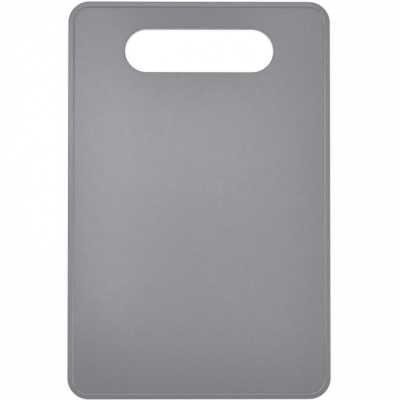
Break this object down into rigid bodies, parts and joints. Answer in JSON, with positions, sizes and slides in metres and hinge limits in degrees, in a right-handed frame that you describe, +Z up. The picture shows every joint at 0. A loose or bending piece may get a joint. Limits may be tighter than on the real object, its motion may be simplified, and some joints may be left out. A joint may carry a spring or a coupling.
{
  "type": "plastic cutting board",
  "caption": "Flat rounded rectangular plastic cutting board with a long hand slot near one end, matt satin faces and a soft non-slip rim standing slightly proud all round.",
  "frame": {"origin": "middle of the board's underside, on the surface that it lies on", "axes": "+X across the board, +Y along it towards the hand slot, +Z up through its thickness"},
  "size_m": [0.198, 0.3, 0.008],
  "materials": {
    "plate": "moulded polypropylene, satin, with a fine matt grain",
    "rim": "moulded thermoplastic elastomer, matt"
  },
  "bodies": {
    "root": {"cutting_plate": "plate", "grip_rim": "rim"}
  },
  "joints": []
}
